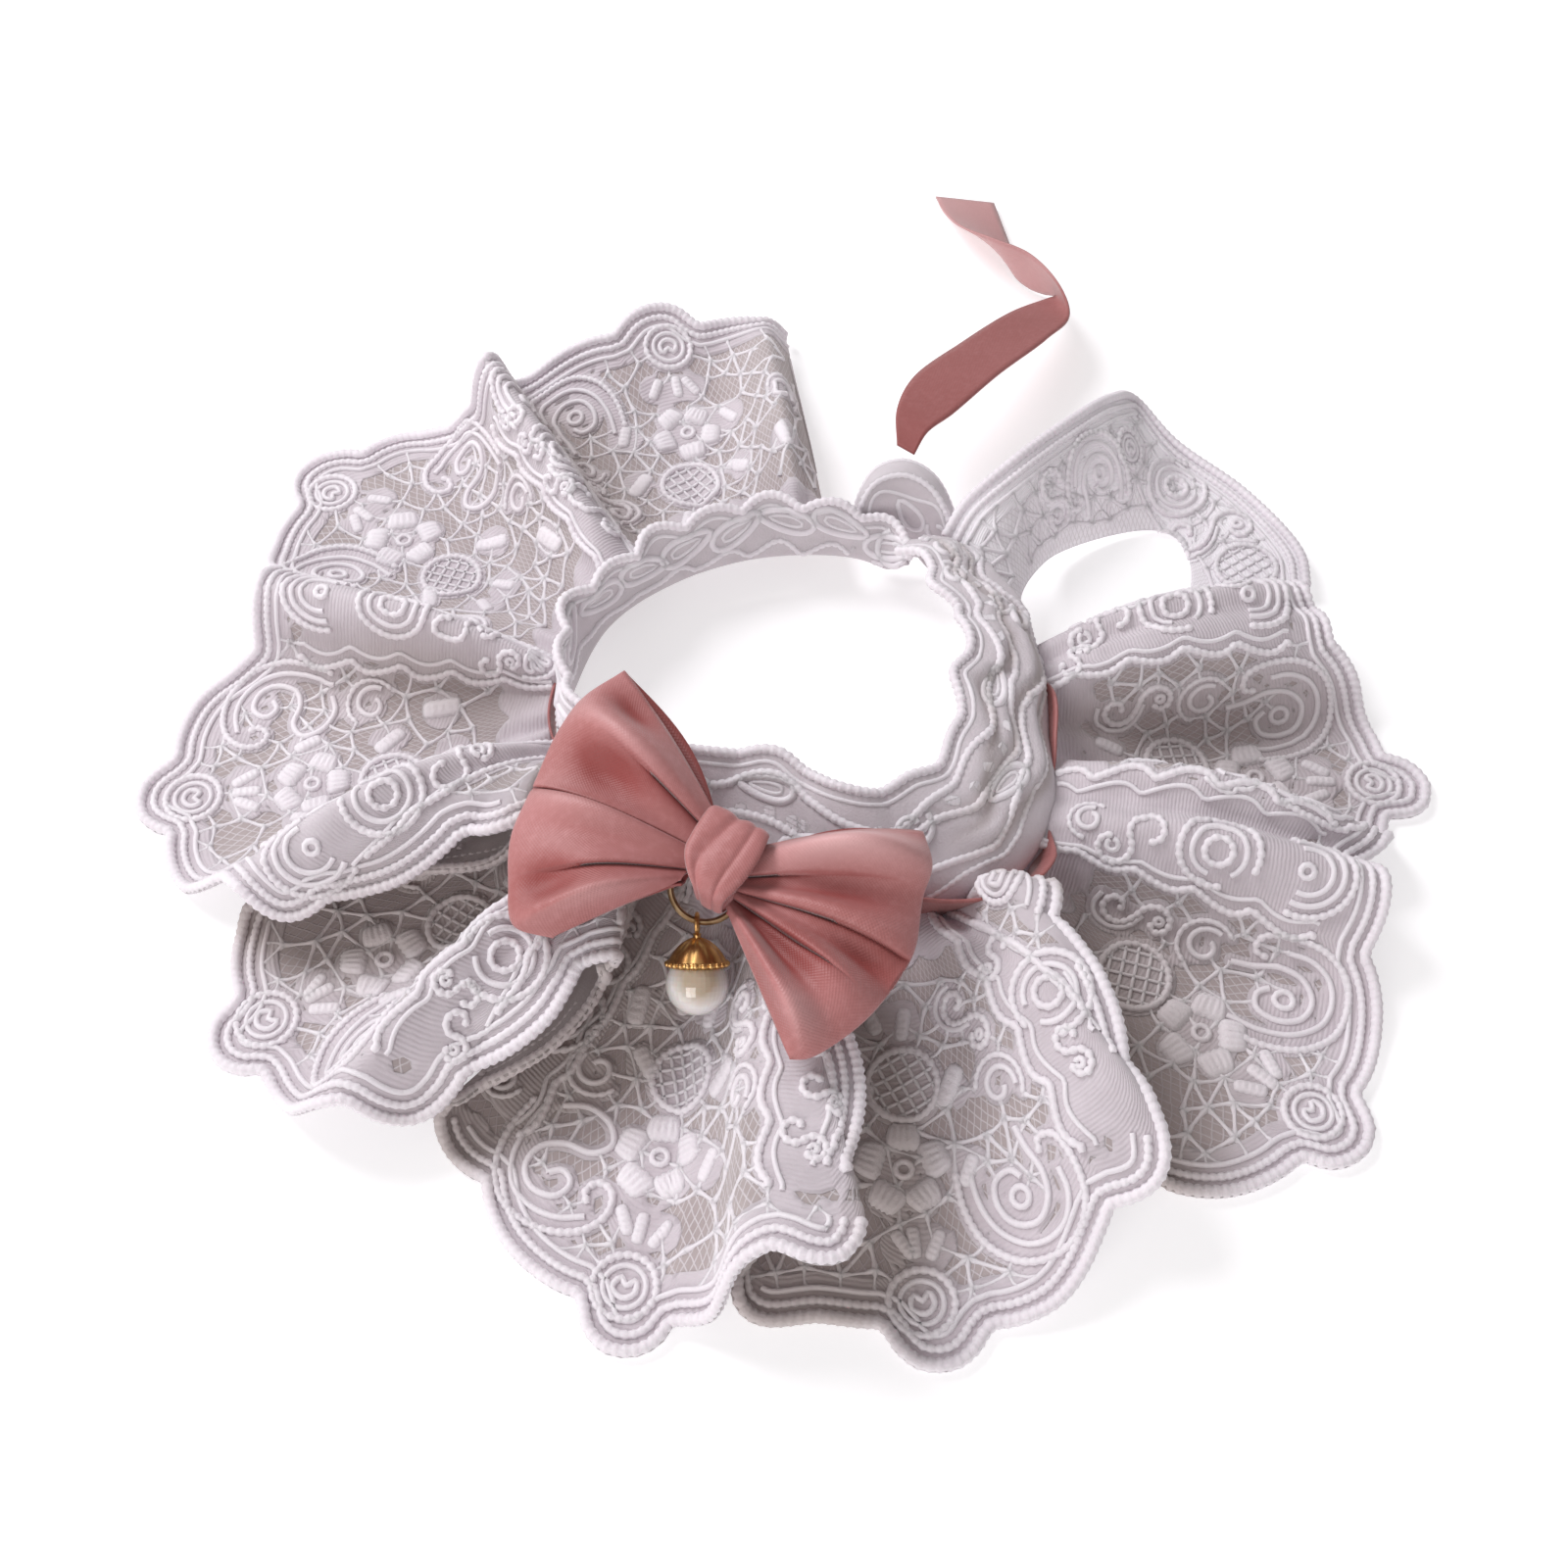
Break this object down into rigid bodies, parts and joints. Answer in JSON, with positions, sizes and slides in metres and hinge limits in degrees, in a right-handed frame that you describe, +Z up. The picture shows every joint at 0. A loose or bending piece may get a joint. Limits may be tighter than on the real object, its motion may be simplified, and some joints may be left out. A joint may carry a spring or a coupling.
{
  "type": "pet scarf",
  "caption": "Gathered lace ruffle collar with a ribbon threaded round the neck, a ribbon bow and a pearl acorn charm on a ring.",
  "frame": {"origin": "middle of the collar's bounding box, on the surface it lies on", "axes": "+Z up out of the surface, the bow at -Y, the ribbon's free end at +Y"},
  "size_m": [0.218, 0.2609, 0.0361],
  "materials": {
    "lace": "white cotton lace, matt with satin cords",
    "ribbon": "dusty pink ribbon, soft sheen",
    "bow": "dusty pink ribbon, soft sheen",
    "gold": "polished gold colour",
    "pearl": "pearl lustre"
  },
  "bodies": {
    "collar": {"lace_ruffle": "lace", "lace_frill": "lace", "lace_end_loop": "lace", "lace_end_curl": "lace", "ribbon_neck": "ribbon", "ribbon_tail": "ribbon", "bow_left": "bow", "bow_right": "bow", "bow_knot": "bow"},
    "ring": {"jump_ring": "gold"},
    "drop": {"charm_eye": "gold", "acorn_cap": "gold", "pearl": "pearl"}
  },
  "joints": [
    {"name": "ring_lift", "type": "hinge", "parent": "collar", "child": "ring", "pos_m": [-0.00819, -0.06152, 0.02279], "axis": [-1, 0, 0], "range_deg": [0, 15]},
    {"name": "drop_lift", "type": "hinge", "parent": "ring", "child": "drop", "pos_m": [-0.01288, -0.06896, 0.01738], "axis": [-1, 0, 0], "range_deg": [0, 45]}
  ]
}
